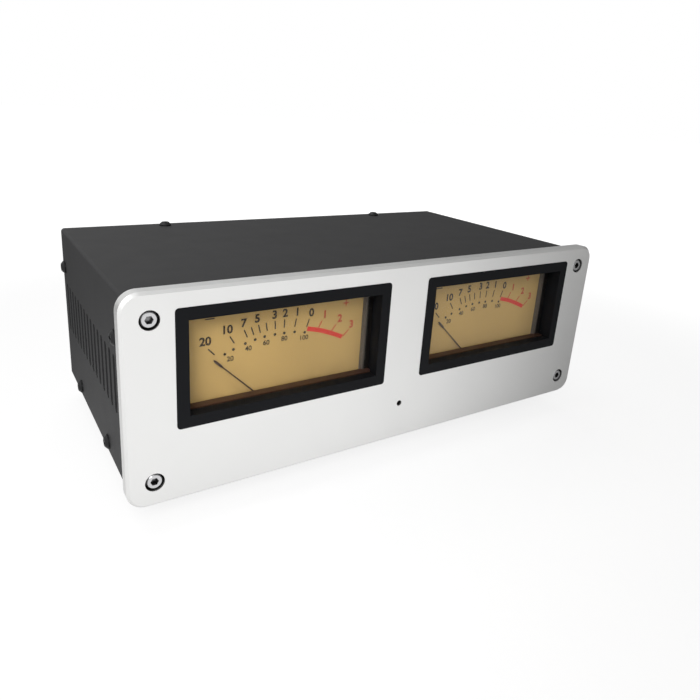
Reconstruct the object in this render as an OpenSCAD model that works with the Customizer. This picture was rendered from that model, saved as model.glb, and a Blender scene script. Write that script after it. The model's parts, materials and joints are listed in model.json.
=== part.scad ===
// Analog level meter with two moving-coil movements in a sheet steel box.
// Millimetres. +Z is up and the front faces -Y. The origin lies on the table, under the middle
// of the box that bounds the whole instrument. "d" in names is a depth behind the panel's front.

/* [Front panel] */
// Width of the aluminium front panel
panel_w = 220; // [200:0.5:240]
// Height of the front panel
panel_h = 75; // [70:0.5:84]
// Thickness of the front panel
panel_t = 5; // [4.5:0.1:6]
// Radius of the panel's four corners
panel_corner_r = 6.5; // [3:0.5:9]
// Bevel round the panel's front edge
panel_bevel = 1; // [0.4:0.1:1.5]
// Distance from a bezel's side to the corner screws beside it
corner_screw_gap = 8; // [7.5:0.1:9]
// Distance of the corner screws from the panel's top and bottom edges
screw_inset_z = 9.1; // [8.5:0.1:10]
// Diameter of the counterbores round the corner screws
counterbore_d = 6.6; // [6.2:0.1:7]
// Depth of the counterbores
counterbore_depth = 3.4; // [3:0.1:3.8]
// Diameter of the microphone hole
mic_hole_d = 2.4; // [1.5:0.1:3]
// Height of the microphone hole over the panel's lower edge
mic_z = 16; // [14:0.5:18]

/* [Meter windows] */
// Width of the panel's face between the two bezels
bezel_gap = 18.4; // [17.4:0.2:24]
// Width of the panel's face beside each bezel
side_margin = 17.2; // [16:0.1:22]
// Height of the panel's face over the bezels
top_margin = 6.4; // [6:0.1:9]
// Width of the bezel's front face
bezel_border = 4.2; // [3.6:0.1:4.6]
// Radius of the bezel's outer corners
bezel_corner_r = 1.2; // [0.5:0.1:2]
// How far the bezel stands out of the panel
bezel_proud = 0.3; // [0:0.1:1]
// Thickness of the clear window pane
pane_t = 1.5; // [1:0.1:1.8]
// Depth of the pane's front face behind the panel's front
pane_d = 3.8; // [3:0.1:4]
// Thickness of the bezel's flange behind the panel
flange_t = 2; // [1.8:0.1:2.4]
// Air between the flange and the dial
dial_gap = 2; // [1.8:0.1:2.4]
// Thickness of the dial
dial_t = 0.5; // [0.3:0.1:0.8]
// Thickness of the light guide behind the dial
guide_t = 2; // [1.5:0.1:2.2]
// Width of the light guide's rim beside the dial
guide_rim = 3.3; // [2.5:0.1:3.6]

/* [Movement] */
// How far the pointer's pivot lies below the window opening
pivot_drop = 10.9; // [10.6:0.1:11.4]
// Length of the pointer from its pivot
pointer_len = 36; // [30:0.5:37]
// Pointer's angle at rest, left of upright
pointer_rest = 46; // [40:1:48]
// Pointer's swing from stop to stop
pointer_swing = 96; // [84:1:98]
// Thickness of the pointer
pointer_t = 0.4; // [0.3:0.05:0.5]
// Radius of the core magnet
core_r = 6; // [5.5:0.1:6.5]
// Length of the core magnet and the pole ring
core_len = 10; // [8:0.5:11]
// Thickness of the pole ring
pole_t = 5; // [4.6:0.1:5.5]
// Air between the coil's side and the pole ring
air_gap = 0.8; // [0.7:0.05:1]
// Width of the coil
coil_width = 4; // [3:0.1:4.4]
// Thickness of the coil winding
winding_t = 0.9; // [0.6:0.1:1]
// Turns of each hairspring
spring_turns = 3.5; // [2.5:0.5:4.5]
// Radius of the pivot staffs
staff_r = 0.5; // [0.4:0.05:0.6]

/* [Sheet steel box] */
// Thickness of the sheet steel
sheet_t = 1.2; // [1:0.1:1.4]
// How far the box stands back from the panel's side edges
box_inset_x = 2.5; // [2:0.1:3]
// How far the box stands back from the panel's top edge
box_inset_top = 3; // [2:0.1:3.2]
// How far the box stands back from the panel's lower edge
box_inset_bottom = 2; // [1.5:0.1:2.2]
// Depth of the box behind the panel
box_depth = 112.5; // [108:0.5:130]
// Outer bend radius of the cover's upper edges
bend_r = 1.5; // [1.2:0.1:3]
// Distance between vent slots
vent_pitch = 6.35; // [5:0.05:6.4]
// Width of a vent slot
vent_w = 3; // [2:0.1:3.6]
// Height of a vent slot
vent_h = 22; // [14:0.5:26]
// Distance from the panel's back to the first slot's middle
vent_start = 9.7; // [8:0.1:11]
// Distance from the last slot's middle to the box's rear face, at the least
vent_end = 7; // [4:0.5:20]
// Distance from the upper side screws down to the slots' upper ends
vent_drop = 7.2; // [6:0.2:10]

/* [Cover screws] */
// Distance of the upper side screws from the panel's top edge
side_screw_drop = 19.8; // [18:0.1:22]
// Height of the lower side screws over the panel's lower edge
side_screw_low = 6; // [5.2:0.1:6.6]
// Depth of the front upper side screw
side_screw_front = 17.5; // [16:0.5:22]
// Distance of the rear screws from the box's rear face
rear_screw_inset = 4.5; // [4:0.5:7]
// Depth of the lower side screw nearer the front
low_screw_front = 38; // [34:0.5:44]
// Distance between the two lower side screws
low_screw_pitch = 52; // [40:1:60]
// Distance between the two top screws
top_screw_pitch = 123; // [100:1:160]

/* [Feet] */
// Height of the box's floor over the table
foot_h = 12; // [9:0.5:16]
// Largest radius of a foot
foot_r = 8; // [6:0.5:9]
// Distance of the feet from the panel's side edges
foot_inset_x = 25; // [22:0.5:28]
// Depth of the front feet
foot_front = 27.5; // [26:0.5:32]
// Distance of the rear feet from the box's rear face
foot_rear = 20; // [18:0.5:30]

/* [Rear fittings] */
// How far the knob reaches behind the box
knob_reach = 17.2; // [17:0.1:22]
// Radius of the sensitivity knob
knob_r = 8; // [7.5:0.1:10]
// Place of the knob across the rear
knob_x = 4; // [0:1:10]
// Place of the pair of line sockets across the rear
socket_x = 62; // [50:1:66]
// Distance between the two line sockets
socket_pitch = 18; // [15:0.5:22]
// Distance of the supply socket from the panel's side edge
supply_inset = 30; // [30:1:34]
// Place of the power switch across the rear
power_x = -52; // [-56:1:-48]
// Place of the source switch across the rear
source_x = -24; // [-30:1:-20]
// Tilt of a switch's lever either side of straight
lever_tilt = 11; // [6:1:12]

/* [Driver board] */
// Distance of the driver board from the panel's side edges
board_inset = 18; // [15:0.5:20]
// Depth of the driver board, front to rear
board_depth = 50; // [48:0.5:54]
// Thickness of the driver board
board_t = 1.6; // [1.2:0.1:2]
// Height of the board over the tray's floor
standoff_h = 6.8; // [6:0.1:8]

/* [Hidden] */
$fn = 48;

// Clearances
fit_gap = 0.15;      // between a piece and the cut-out that it drops into
thread_gap = 0.05;   // between a screw and its tapped hole
running_gap = 0.05;  // between a turning shaft and its bore
far = 400;           // longer than anything that it cuts

// Screw sizes
m3_r = 1.5;
m3_clear_r = 1.7;
m3_nut_af = 5.5;
m3_nut_h = 2.4;
cap_head_r = 2.75;
cap_head_h = 3;
cap_chamfer = 0.4;
m2_r = 1;
m2_head_r = 1.8;
m2_head_h = 1.3;
button_head_r = 2.8;
button_head_h = 1.6;
pan_head_h = 2;
pan_chamfer = 0.6;
hex_key_af = 2.5;
hex_key_depth = 1.6;
slot_w = 0.8;
slot_depth = 0.9;
screw_end = 1;       // thread that shows behind a nut

// Depths, front to rear
total_depth = bezel_proud + panel_t + box_depth + knob_reach;
front_y = bezel_proud - total_depth / 2;
plate_back_d = panel_t + sheet_t;
flange_back_d = plate_back_d + flange_t;
dial_d = flange_back_d + dial_gap;
guide_d = dial_d + dial_t;
guide_back_d = guide_d + guide_t;
rear_d = panel_t + box_depth;
rear_in_d = rear_d - sheet_t;
end_d = rear_d + knob_reach;

// Heights
panel_z = foot_h - box_inset_bottom;
panel_top = panel_z + panel_h;
box_z = foot_h;
box_top = panel_top - box_inset_top;
floor_z = box_z + sheet_t;
roof_z = box_top - sheet_t;

high_screw_z = panel_top - side_screw_drop;
low_screw_z = panel_z + side_screw_low;
vent_z = high_screw_z - vent_drop - vent_h / 2;
vent_count = floor((box_depth - vent_start - vent_end) / vent_pitch) + 1;

// Widths
foot_x = panel_w / 2 - foot_inset_x;
supply_x = supply_inset - panel_w / 2;
box_x = panel_w / 2 - box_inset_x;
wall_in_x = box_x - sheet_t;
tab_x = wall_in_x - fit_gap;
tab_in_x = tab_x - sheet_t;

// Coil and pole ring, from the core outwards
winding_gap = 0.8;
former_t = 0.5;
coil_half = core_r + winding_gap + former_t + winding_t;
pole_in_r = coil_half + air_gap;
pole_r = pole_in_r + pole_t;
case_wall = 1.5;
cup_r = pole_r + case_wall + 0.5;
cup_floor_gap = 0.8;

// Window and meter. The cup round the pole ring stands just clear of the floor.
pivot_z = floor_z + cup_floor_gap + cup_r;
window_z = pivot_z + pivot_drop;
bezel_bottom = window_z - bezel_border;
bezel_w = (panel_w - bezel_gap) / 2 - side_margin;
bezel_h = panel_top - top_margin - bezel_bottom;
meter_pitch = bezel_w + bezel_gap;
window_w = bezel_w - 2 * bezel_border;
window_h = bezel_h - 2 * bezel_border;
window_top = window_z + window_h;
case_half = bezel_w / 2 - 0.8;
case_in_half = case_half - case_wall;
case_z = floor_z + 1.4;
case_top = roof_z - 0.6;
case_back_d = guide_back_d + 2;
flange_half = bezel_w / 2 + 3.8;
ear_x = bezel_w / 2 + 1.8;
ear_heights = [pivot_z - 6, window_top - 5];
ear_t = 2.5;
ear_h = 7;

// Pane and shelf
pane_back_d = pane_d + pane_t;
pane_lip = 1.5;
seat_z = window_z - pane_lip - fit_gap;
shelf_lip_t = 0.6;
shelf_back_d = flange_back_d + shelf_lip_t;
shelf_lip_h = 4.4;

// Terminals on the case's back
terminal_x = 27;
terminal_z = pivot_z - 6;
terminal_len = 7;

// Dial and its lamps
guide_half = case_in_half - 0.2;
dial_half = guide_half - 0.1 - guide_rim;
dial_z = window_z - 1.6;
dial_top = window_top + 1;
lamp_t = 0.7;
lamp_w = 3.5;
lamp_depth = 2.6;
lamp_board_t = 0.7;
lamp_board_depth = 3.2;
lamp_z = case_top - case_wall - lamp_board_t - lamp_t;
lamp_pitch = window_w / 4;
lamp_board_w = 2 * lamp_pitch + 14;

// Movement, front to rear
pocket_d = plate_back_d + 0.8;
bridge_t = 1;
bridge_w = 4.4;
bridge_d = pocket_d + 0.6;
pointer_d = (shelf_back_d + dial_d) / 2 - pointer_t / 2;
spring_h = 0.6;
spring_strip = 0.25;
spring_in_r = 1.45;
spring_out_r = 5.6;
spring_d = pointer_d + pointer_t + 1.15;
coil_front_d = spring_d + spring_h + 0.9;
core_d = coil_front_d + winding_t + former_t + 0.5;
core_back_d = core_d + core_len;
coil_back_d = core_back_d + 0.5 + former_t + winding_t;
rear_spring_d = coil_back_d + 1.2;
adjuster_d = rear_spring_d + spring_h + 0.7;
adjuster_arm_t = 0.8;
adjuster_r = 2;
rear_bridge_d = adjuster_d + adjuster_arm_t + 0.4;
pillar_r = 1.4;
pillar_x = pole_in_r + pillar_r + 0.7;
cup_end_d = rear_bridge_d + bridge_t + 1.6;
cup_back_d = cup_end_d + case_wall;
stop_r = 0.4;
stop_radius = pole_in_r + 2;
stop_gap = 0.2;
collet_r = 1.2;
hub_r = 1.6;
hub_t = 0.4;
staff_tip_r = 0.12;
staff_tip = 0.4;

// Board and what stands on it
board_z = floor_z + standoff_h;
board_top = board_z + board_t;
board_x = panel_w / 2 - board_inset;
board_back_d = rear_in_d - 2.3;
board_front_d = board_back_d - board_depth;
header_h = 6;
header_d = board_front_d + 5;
header_w = 7.5;
header_depth = 6;
header_pitch = 18;
lead_xs = [20, 20 + header_pitch, foot_x - 23];
lead_r = 0.6;
lead_run = 22;
lead_arch = 16;
lamp_exit_x = 32;
lamp_exit_z = pivot_z + 18;
mic_r = 3;
mic_len = 5;
mic_port_r = 2.2;
mic_leg_len = 2.5;
boot_r = 4.2;
boot_t = 0.6;

// Rear fittings
body_depth = 12;
plate_gap = 0.5;
socket_r = 4.15;
socket_len = 9.5;
socket_root = 5;
socket_body = 6.5;
shoulder_r = 4.6;
collar_r = 5.4;
collar_proud = 0.6;
insert_r = 3.6;
contact_r = 1.65;
socket_axis_z = board_top + 10;
supply_axis_z = board_top + 6.5;
pot_axis_z = board_top + 12;
switch_axis_z = board_top + 10;
pot_half = 8.5;
pot_depth = 11;
shaft_root = 8;
shaft_r = 3;
pot_bush_r = 3.5;
pot_bush_len = 6;
nut_t = 2;
washer_t = 0.4;
pot_nut_af = 10;
switch_half = 6.5;
switch_top = 5;
switch_bush_r = 3;
switch_bush_len = 7;
switch_mouth_r = 2.6;
switch_nut_af = 8;
lever_pivot_d = rear_d + 1.5;
lever_len = 13.5;
lever_root_r = 0.8;
ball_r = 1.5;
lever_pin_r = 0.5;
rear_hole_gap = 0.2;
knob_gap = 0.6;

// ---- Helpers -------------------------------------------------------------

// A block given by its limits: x from x0 to x1, depth from d0 to d1, height from z0 to z1
module block(x0, x1, d0, d1, z0, z1) {
    translate([x0, front_y + d0, z0]) cube([x1 - x0, d1 - d0, z1 - z0]);
}

// A block centred on x
module mid_block(x, w, d0, d1, z0, z1) {
    block(x - w / 2, x + w / 2, d0, d1, z0, z1);
}

// A cylinder or cone that runs rearwards from depth d0 to d1
module rod(x, z, d0, d1, r, r_end = -1) {
    translate([x, front_y + d0, z]) rotate([-90, 0, 0])
        cylinder(h = d1 - d0, r1 = r, r2 = r_end < 0 ? r : r_end);
}

// Hexagonal bar that runs rearwards, given across its flats
module hex_rod(x, z, d0, d1, flats) {
    translate([x, front_y + d0, z]) rotate([-90, 0, 0])
        cylinder(h = d1 - d0, r = flats / sqrt(3), $fn = 6);
}

// A cylinder across the object, from x0 to x1
module cross_rod(x0, x1, d, z, r) {
    translate([x0, front_y + d, z]) rotate([0, 90, 0]) cylinder(h = x1 - x0, r = r);
}

// An upright cylinder or cone
module post(x, d, z0, z1, r, r_top = -1) {
    translate([x, front_y + d, z0]) cylinder(h = z1 - z0, r1 = r, r2 = r_top < 0 ? r : r_top);
}

// A plate between two depths, from an outline drawn in x and z
module plate(d0, d1) {
    translate([0, front_y + d1, 0]) rotate([90, 0, 0]) linear_extrude(d1 - d0) children();
}

// Rounded rectangle about the origin
module round_rect(w, h, r) {
    square([w - 2 * r, h], center = true);
    square([w, h - 2 * r], center = true);
    for (x = [-1, 1], y = [-1, 1])
        translate([x * (w / 2 - r), y * (h / 2 - r)]) circle(r);
}

// Moves a meter's pieces from the middle of the object to the meter's own place
module at_meter(side) {
    translate([side * meter_pitch / 2, 0, 0]) children();
}

// Turns what is drawn for an upright pointer to the pointer's rest angle
module at_rest(side) {
    at_meter(side) translate([0, 0, pivot_z]) rotate([0, -pointer_rest, 0]) children();
}

// ---- Front panel ---------------------------------------------------------

// Plate with rounded corners and a bevelled front edge, drawn lying on its back
module bevelled_slab(w, h, t, r, c) {
    half_profile = [[0, 0], [r, 0], [r, t - c], [r - c, t], [0, t]];
    for (x = [-1, 1], y = [-1, 1])
        translate([x * (w / 2 - r), y * (h / 2 - r), 0]) rotate_extrude() polygon(half_profile);
    edge_bar(w - 2 * r, h, t, c);
    rotate([0, 0, 90]) edge_bar(h - 2 * r, w, t, c);
}

// Bar of length len along x whose two long upper edges are bevelled
module edge_bar(len, w, t, c) {
    translate([-len / 2, 0, 0]) rotate([90, 0, 90]) linear_extrude(len)
        polygon([[-w / 2, 0], [w / 2, 0], [w / 2, t - c],
            [w / 2 - c, t], [c - w / 2, t], [-w / 2, t - c]]);
}

// Places children at the panel's four corner screws
module at_panel_screws() {
    for (x = [-1, 1], z = [panel_z + screw_inset_z, panel_top - screw_inset_z])
        translate([x * (meter_pitch / 2 + bezel_w / 2 + corner_screw_gap), 0, z]) children();
}

// Outline of both bezels, drawn in x and z
module bezel_outlines(gap) {
    for (side = [-1, 1])
        translate([side * meter_pitch / 2, bezel_bottom + bezel_h / 2])
            round_rect(bezel_w + 2 * gap, bezel_h + 2 * gap, bezel_corner_r + gap);
}

module front_panel() {
    color("gainsboro") difference() {
        translate([0, front_y + panel_t, panel_z + panel_h / 2]) rotate([90, 0, 0])
            bevelled_slab(panel_w, panel_h, panel_t, panel_corner_r, panel_bevel);
        plate(-1, panel_t + 1) bezel_outlines(fit_gap);
        at_panel_screws() {
            rod(0, 0, -1, panel_t + 1, m3_clear_r);
            rod(0, 0, -1, counterbore_depth, counterbore_d / 2);
        }
        rod(0, panel_z + mic_z, -1, panel_t + 1, mic_hole_d / 2);
    }
}

module panel_screws() {
    head_d = counterbore_depth - cap_head_h;
    color("silver") at_panel_screws() difference() {
        union() {
            rod(0, 0, head_d, head_d + cap_chamfer, cap_head_r - cap_chamfer, cap_head_r);
            rod(0, 0, head_d + cap_chamfer, counterbore_depth, cap_head_r);
            rod(0, 0, counterbore_depth, plate_back_d + m3_nut_h + screw_end, m3_r);
        }
        hex_rod(0, 0, head_d - 1, head_d + hex_key_depth, hex_key_af);
    }
}

module panel_nuts() {
    color("silver") at_panel_screws() difference() {
        hex_rod(0, 0, plate_back_d, plate_back_d + m3_nut_h, m3_nut_af);
        rod(0, 0, 0, far, m3_r + thread_gap);
    }
}

// ---- Sheet steel box -----------------------------------------------------

// Tabs that join the front and rear plates to the tray's floor
tray_tab_w = 12;
tray_tab_len = 9.8;
tray_tab_xs = [-1, 0, 1] * (tab_in_x - tray_tab_w / 2 - 1);
// Ears and flanges reach past the screws that they hold
ear_margin = 6;
side_ear_h = 13;
side_ear_len = side_screw_front - panel_t + ear_margin;
rear_ear_len = rear_screw_inset + ear_margin;
lip_h = side_screw_low - box_inset_bottom + ear_margin;
lip_inset = sheet_t + 0.2;

// A flat plate with ears bent back from its sides and tabs bent over the floor.
// to_rear is 1 when the ears and tabs reach rearwards, and -1 when they reach forwards.
module end_plate(d0, ear_len, to_rear) {
    d1 = d0 + sheet_t;
    ear_z = high_screw_z - side_ear_h / 2;
    ear_d0 = to_rear > 0 ? d0 : d1 - ear_len;
    tab_d0 = to_rear > 0 ? d1 : d0 - tray_tab_len;
    block(-tab_x, tab_x, d0, d1, floor_z, roof_z - fit_gap);
    for (side = [-1, 1])
        mid_block(side * (tab_in_x + tab_x) / 2, sheet_t,
            ear_d0, ear_d0 + ear_len, ear_z, ear_z + side_ear_h);
    for (x = tray_tab_xs)
        mid_block(x, tray_tab_w, tab_d0, tab_d0 + tray_tab_len, floor_z, floor_z + sheet_t);
}

// Depths of the rivets through the tabs
rivet_front_d = plate_back_d + tray_tab_len / 2;
rivet_rear_d = rear_in_d - tray_tab_len / 2;
rivet_r = 1.6;
rivet_head_r = 2.6;
rivet_head_h = 0.8;

module at_rivets() {
    for (x = tray_tab_xs, d = [rivet_front_d, rivet_rear_d]) translate([x, d, 0]) children();
}

module front_plate() {
    color("dimgray") difference() {
        end_plate(panel_t, side_ear_len, 1);
        plate(panel_t - 1, plate_back_d + 1) bezel_outlines(fit_gap);
        at_panel_screws() rod(0, 0, 0, plate_back_d + 1, m3_clear_r);
        for (side = [-1, 1], x = [-1, 1], z = ear_heights)
            rod(side * meter_pitch / 2 + x * ear_x, z, panel_t - 1, plate_back_d + 1, m2_r + thread_gap);
        rod(0, panel_z + mic_z, panel_t - 1, plate_back_d + 1, mic_port_r);
        cross_rod(-far, far, side_screw_front, high_screw_z, m3_r + thread_gap);
        at_rivets() post(0, 0, 0, far, rivet_r);
    }
}

module rear_plate() {
    color("dimgray") difference() {
        union() {
            end_plate(rear_in_d, rear_ear_len, -1);
            block(-tab_in_x, tab_in_x, rear_d - rear_ear_len, rear_in_d,
                roof_z - fit_gap - sheet_t, roof_z - fit_gap);
        }
        cross_rod(-far, far, rear_d - rear_screw_inset, high_screw_z, m3_r + thread_gap);
        for (x = [-1, 1])
            post(x * top_screw_pitch / 2, rear_d - rear_screw_inset, high_screw_z, far,
                m3_r + thread_gap);
        at_rivets() post(0, 0, 0, board_z, rivet_r);
        at_sockets() rear_hole(0, 0, collar_r);
        rear_hole(supply_x, supply_axis_z, supply_nose_r);
        rear_hole(knob_x, pot_axis_z, pot_bush_r);
        for (x = [power_x, source_x]) rear_hole(x, switch_axis_z, switch_bush_r);
    }
}

module rear_hole(x, z, r) {
    rod(x, z, rear_in_d - 1, rear_d + 1, r + rear_hole_gap);
}

module bottom_tray() {
    color("dimgray") difference() {
        union() {
            block(-tab_x, tab_x, panel_t, rear_d, box_z, floor_z);
            for (side = [-1, 1])
                mid_block(side * (tab_in_x + tab_x) / 2, sheet_t,
                    panel_t + lip_inset, rear_d - lip_inset, box_z, box_z + lip_h);
        }
        for (d = [low_screw_front, low_screw_front + low_screw_pitch])
            cross_rod(-far, far, d, low_screw_z, m3_r + thread_gap);
        at_rivets() post(0, 0, 0, far, rivet_r);
        at_feet() post(0, 0, 0, far, m3_clear_r);
        at_standoffs() post(0, 0, 0, far, m3_clear_r);
    }
}

module tray_rivets() {
    color("darkgray") at_rivets() {
        post(0, 0, box_z, floor_z + sheet_t, rivet_r);
        post(0, 0, box_z - rivet_head_h, box_z, rivet_r, rivet_head_r);
        post(0, 0, floor_z + sheet_t, floor_z + sheet_t + rivet_head_h, rivet_head_r, rivet_r);
    }
}

// Outline of the U-shaped cover, drawn in x and z
module cover_outline() {
    difference() {
        union() {
            translate([-box_x, box_z]) square([2 * box_x, box_top - box_z - bend_r]);
            translate([bend_r - box_x, box_z]) square([2 * (box_x - bend_r), box_top - box_z]);
            for (side = [-1, 1]) translate([side * (box_x - bend_r), box_top - bend_r]) circle(bend_r);
        }
        translate([-wall_in_x, box_z - 1]) square([2 * wall_in_x, roof_z - box_z + 1]);
    }
}

// Cutter for one vent slot, through both of the cover's sides
module vent_slot(d) {
    straight = vent_h - vent_w;
    block(-far, far, d - vent_w / 2, d + vent_w / 2, vent_z - straight / 2, vent_z + straight / 2);
    for (end = [-1, 1]) cross_rod(-far, far, d, vent_z + end * straight / 2, vent_w / 2);
}

module top_cover() {
    color([0.27, 0.27, 0.28]) difference() {
        plate(panel_t, rear_d) cover_outline();
        for (i = [0 : vent_count - 1]) vent_slot(panel_t + vent_start + i * vent_pitch);
        for (d = [side_screw_front, rear_d - rear_screw_inset])
            cross_rod(-far, far, d, high_screw_z, m3_clear_r);
        for (d = [low_screw_front, low_screw_front + low_screw_pitch])
            cross_rod(-far, far, d, low_screw_z, m3_clear_r);
        for (x = [-1, 1])
            post(x * top_screw_pitch / 2, rear_d - rear_screw_inset, high_screw_z, far, m3_clear_r);
    }
}

// Button-head screw standing on z = 0 with its shank below and a cross recess in its head
module cover_screw() {
    edge_h = 0.6;
    top_r = 1.7;
    shank = 4.5;
    cross_len = 2.8;
    difference() {
        union() {
            cylinder(h = edge_h, r = button_head_r);
            translate([0, 0, edge_h]) cylinder(h = button_head_h - edge_h, r1 = button_head_r, r2 = top_r);
            translate([0, 0, -shank]) cylinder(h = shank, r = m3_r);
        }
        for (a = [0, 90])
            rotate([0, 0, a]) translate([-cross_len / 2, -slot_w / 2, button_head_h - slot_depth])
                cube([cross_len, slot_w, button_head_h]);
    }
}

module cover_screws() {
    spots = [[side_screw_front, high_screw_z], [rear_d - rear_screw_inset, high_screw_z],
        [low_screw_front, low_screw_z], [low_screw_front + low_screw_pitch, low_screw_z]];
    color([0.1, 0.1, 0.1]) {
        for (side = [-1, 1], spot = spots)
            translate([side * box_x, front_y + spot[0], spot[1]]) rotate([0, side * 90, 0]) cover_screw();
        for (x = [-1, 1])
            translate([x * top_screw_pitch / 2, front_y + rear_d - rear_screw_inset, box_top])
                cover_screw();
    }
}

// ---- Feet ----------------------------------------------------------------

module at_feet() {
    for (x = [-1, 1], d = [foot_front, rear_d - foot_rear]) translate([x * foot_x, d, 0]) children();
}

foot_web = 4;
foot_recess_r = 4.1;
foot_taper = 1;
foot_edge = 0.8;
foot_band = 1.5;

module feet() {
    outline = [[m3_clear_r, foot_h - foot_web], [foot_recess_r, foot_h - foot_web],
        [foot_recess_r, 0], [foot_r - foot_taper - foot_edge, 0], [foot_r - foot_taper, foot_edge],
        [foot_r, foot_h - foot_band], [foot_r, foot_h], [m3_clear_r, foot_h]];
    color([0.08, 0.08, 0.08]) at_feet() translate([0, front_y, 0]) rotate_extrude() polygon(outline);
}

module foot_screws() {
    head_z = foot_h - foot_web - pan_head_h;
    color("silver") at_feet() {
        difference() {
            union() {
                post(0, 0, foot_h - foot_web, floor_z + m3_nut_h + screw_end, m3_r);
                post(0, 0, head_z, foot_h - foot_web, cap_head_r - pan_chamfer, cap_head_r);
            }
            mid_block(0, 2 * m3_r, -slot_w / 2, slot_w / 2, head_z - 1, head_z + slot_depth);
        }
        translate([0, front_y, floor_z]) difference() {
            cylinder(h = m3_nut_h, r = m3_nut_af / sqrt(3), $fn = 6);
            translate([0, 0, -1]) cylinder(h = far, r = m3_r + thread_gap);
        }
    }
}

// ---- Meter front ---------------------------------------------------------

// Opening of the window, drawn in x and z, grown by a margin
module window_outline(grow) {
    translate([-window_w / 2 - grow, window_z - grow]) square([window_w + 2 * grow, window_h + 2 * grow]);
}

module bezel(side) {
    color([0.11, 0.11, 0.12]) at_meter(side) difference() {
        union() {
            plate(-bezel_proud, plate_back_d) translate([0, bezel_bottom + bezel_h / 2])
                round_rect(bezel_w, bezel_h, bezel_corner_r);
            block(-flange_half, flange_half, plate_back_d, flange_back_d, case_z, case_top);
        }
        plate(-bezel_proud - 1, flange_back_d + 1) window_outline(0);
        // seat of the pane and the shelf, open to the rear
        plate(pane_d, flange_back_d + 1) window_outline(pane_lip + fit_gap);
        // hollow for the front bridge
        block(-case_in_half, case_in_half, pocket_d, flange_back_d + 1, case_z + case_wall, pivot_z + 5);
        for (x = [-1, 1], z = ear_heights) rod(x * ear_x, z, panel_t, flange_back_d + 1, m2_r + 0.1);
    }
}

module window_pane(side) {
    color([0.85, 0.92, 0.95, 0.3]) at_meter(side)
        plate(pane_d, pane_back_d) window_outline(pane_lip);
}

// Brown shelf under the window, with a lip that hangs down behind the bezel's flange
module window_shelf(side) {
    half = window_w / 2 + pane_lip;
    color([0.42, 0.29, 0.19]) at_meter(side) {
        block(-half, half, pane_back_d, flange_back_d, seat_z, window_z);
        block(-dial_half, dial_half, flange_back_d, shelf_back_d, window_z - shelf_lip_h, window_z);
    }
}

module dial(side) {
    color([0.76, 0.66, 0.42]) at_meter(side)
        block(-dial_half, dial_half, dial_d, guide_d, dial_z, dial_top);
}

// Clear plates behind the dials, each with a rim round its sides and top
module light_guides() {
    play = 0.1;
    color([0.8, 0.78, 0.72, 0.6]) for (side = [-1, 1]) at_meter(side) difference() {
        block(-guide_half, guide_half, flange_back_d, guide_back_d, dial_z - 0.3, lamp_z - play);
        block(-dial_half - play, dial_half + play, 0, guide_d, 0, dial_top + play);
    }
}

// Strips with three lamps each, which shine down into the light guides' upper edges
module lamp_boards() {
    color("white") for (side = [-1, 1]) at_meter(side) {
        mid_block(0, lamp_board_w, guide_back_d - lamp_board_depth, guide_back_d,
            lamp_z + lamp_t, lamp_z + lamp_t + lamp_board_t);
        for (x = [-1, 0, 1])
            mid_block(x * lamp_pitch, lamp_w, guide_back_d - 0.2 - lamp_depth, guide_back_d - 0.2,
                lamp_z, lamp_z + lamp_t);
    }
}

module meter_case(side) {
    color([0.13, 0.13, 0.14]) at_meter(side) difference() {
        union() {
            block(-case_half, case_half, flange_back_d, case_back_d, case_z, case_top);
            rod(0, pivot_z, case_back_d - case_wall, cup_back_d, cup_r);
            for (x = [-1, 1], z = ear_heights)
                mid_block(x * (case_half + flange_half) / 2, flange_half - case_half,
                    flange_back_d, flange_back_d + ear_t, z - ear_h / 2, z + ear_h / 2);
        }
        block(-case_in_half, case_in_half, 0, case_back_d - case_wall,
            case_z + case_wall, case_top - case_wall);
        // the pole ring drops into the cup up to a shoulder
        rod(0, pivot_z, 0, core_back_d, pole_r + thread_gap);
        rod(0, pivot_z, 0, cup_end_d, pole_r - 0.5);
        rod(0, pivot_z, 0, cup_back_d + 1, adjuster_r + 0.3);
        for (x = [-1, 1], z = ear_heights) rod(x * ear_x, z, 0, far, m2_r + 0.1);
        for (x = [-1, 1]) rod(x * terminal_x, terminal_z, 0, case_back_d + 1, m3_r + 0.1);
    }
}

module meter_screws() {
    head_d = flange_back_d + ear_t;
    cross_w = 0.5;
    color("silver") for (side = [-1, 1], x = [-1, 1], z = ear_heights) at_meter(side) difference() {
        union() {
            rod(x * ear_x, z, panel_t + 0.1, head_d, m2_r);
            rod(x * ear_x, z, head_d, head_d + m2_head_h, m2_head_r, m2_head_r - cross_w);
        }
        mid_block(x * ear_x, 2 * m2_r, head_d + m2_head_h / 2, head_d + 2 * m2_head_h,
            z - cross_w / 2, z + cross_w / 2);
        mid_block(x * ear_x, cross_w, head_d + m2_head_h / 2, head_d + 2 * m2_head_h,
            z - m2_r, z + m2_r);
    }
}

module meter_terminals() {
    color("goldenrod") for (side = [-1, 1], x = [-1, 1]) at_meter(side) {
        rod(x * terminal_x, terminal_z, case_back_d - case_wall - 1, case_back_d + terminal_len, m3_r);
        difference() {
            hex_rod(x * terminal_x, terminal_z, case_back_d, case_back_d + m3_nut_h, m3_nut_af);
            rod(x * terminal_x, terminal_z, 0, far, m3_r);
        }
    }
}

// ---- Moving-coil movement ------------------------------------------------

module pole_rings() {
    color("slategray") for (side = [-1, 1]) at_meter(side) difference() {
        rod(0, pivot_z, core_d, core_back_d, pole_r);
        rod(0, pivot_z, core_d - 1, core_back_d + 1, pole_in_r);
    }
}

module core_magnets() {
    color("gray") for (side = [-1, 1]) at_meter(side) rod(0, pivot_z, core_d, core_back_d, core_r);
}

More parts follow.
